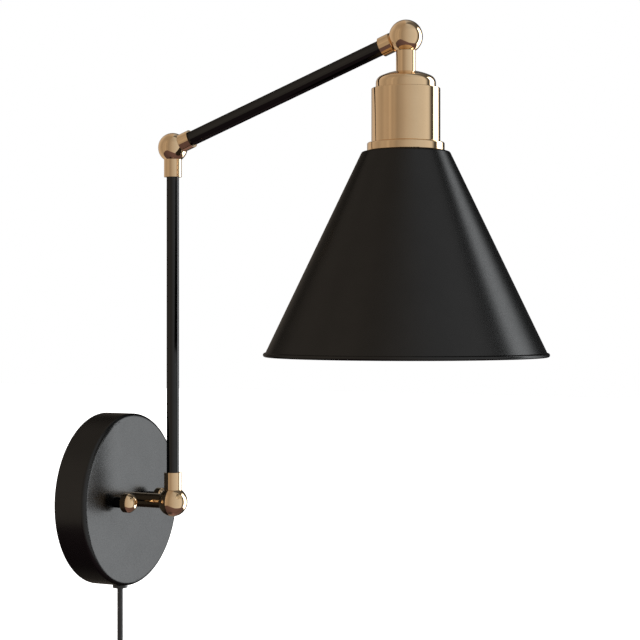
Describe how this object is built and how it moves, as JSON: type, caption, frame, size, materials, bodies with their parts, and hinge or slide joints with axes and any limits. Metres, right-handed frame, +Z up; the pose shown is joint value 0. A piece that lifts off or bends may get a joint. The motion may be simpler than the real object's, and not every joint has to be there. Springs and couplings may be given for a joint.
{
  "type": "swing arm wall sconce",
  "caption": "Plug-in wall sconce: round canopy, two tube arms joined by brass ball knuckles and a black cone shade that tilts at the head.",
  "frame": {"origin": "centre of the canopy on the wall plane", "axes": "+Y into the wall, +Z up, +X to the right of a person facing the wall; the lamp stands out towards -Y"},
  "size_m": [0.1996, 0.3513, 0.659],
  "materials": {
    "black_powder_coat": "satin black powder coat on spun steel and steel tube",
    "polished_brass": "polished champagne brass, clear lacquered",
    "zinc_steel": "zinc plated",
    "nylon": "natural nylon",
    "wire_insulation": "white PVC insulation",
    "cord_sheath": "smooth black cord sheath",
    "black_plastic": "moulded black plastic, fine texture",
    "bare_brass": "bare stamped brass",
    "ceramic": "glazed porcelain"
  },
  "bodies": {
    "wall_base": {"canopy": "black_powder_coat", "wall_bracket": "zinc_steel", "canopy_studs": "zinc_steel", "stud_nuts": "zinc_steel", "cap_knobs": "polished_brass", "wall_knuckle": "polished_brass", "stub_washer": "zinc_steel", "stub_locknut": "zinc_steel", "wall_pivot_screw": "zinc_steel", "wall_friction_washer": "nylon", "lamp_conductors": "wire_insulation", "wire_connectors": "nylon", "cord_conductors": "wire_insulation", "cord_clamp": "nylon", "cord_grommet": "black_plastic", "cord_lead": "cord_sheath", "switch_front": "black_plastic", "switch_back": "black_plastic", "switch_screws": "zinc_steel", "cord_drop": "cord_sheath", "cord_coil": "cord_sheath", "cord_tie": "black_plastic", "cord_tail": "cord_sheath", "plug_body": "black_plastic", "plug_blades": "bare_brass"},
    "lower_swivel": {"lower_knuckle": "polished_brass"},
    "lower_arm": {"lower_tube": "black_powder_coat", "lower_arm_wires": "wire_insulation", "elbow_base": "polished_brass", "elbow_pivot_screw": "zinc_steel", "elbow_friction_washer": "nylon"},
    "upper_arm": {"elbow_upper": "polished_brass", "upper_tube": "black_powder_coat", "upper_arm_wires": "wire_insulation", "head_knuckle": "polished_brass", "head_pivot_screw": "zinc_steel", "head_friction_washer": "nylon"},
    "lamp_head": {"head_stem": "polished_brass", "head_wires": "wire_insulation", "socket_dome": "polished_brass", "dome_locknut": "zinc_steel", "socket_sleeve": "polished_brass", "shade_ring": "polished_brass", "shade": "black_powder_coat", "shade_ring_nut": "black_powder_coat", "lampholder": "ceramic", "screw_shell": "bare_brass", "centre_contact": "bare_brass"},
    "rocker": {"switch_rocker": "black_plastic"}
  },
  "joints": [
    {"name": "wall_tilt", "type": "hinge", "parent": "wall_base", "child": "lower_swivel", "pos_m": [0, -0.0612, 0], "axis": [-1, 0, 0], "range_deg": [-90, 10]},
    {"name": "arm_swing", "type": "hinge", "parent": "lower_swivel", "child": "lower_arm", "pos_m": [0, -0.0612, 0], "axis": [0, 0, 1], "range_deg": [-75, 75]},
    {"name": "elbow_tilt", "type": "hinge", "parent": "lower_arm", "child": "upper_arm", "pos_m": [0, -0.0612, 0.2648], "axis": [-1, 0, 0], "range_deg": [-25, 65]},
    {"name": "head_tilt", "type": "hinge", "parent": "upper_arm", "child": "lamp_head", "pos_m": [0, -0.25145, 0.33416], "axis": [-1, 0, 0], "range_deg": [0, 110]},
    {"name": "switch_rock", "type": "hinge", "parent": "wall_base", "child": "rocker", "pos_m": [0, -0.0173, -0.145], "axis": [1, 0, 0], "range_deg": [-14, 0]}
  ]
}
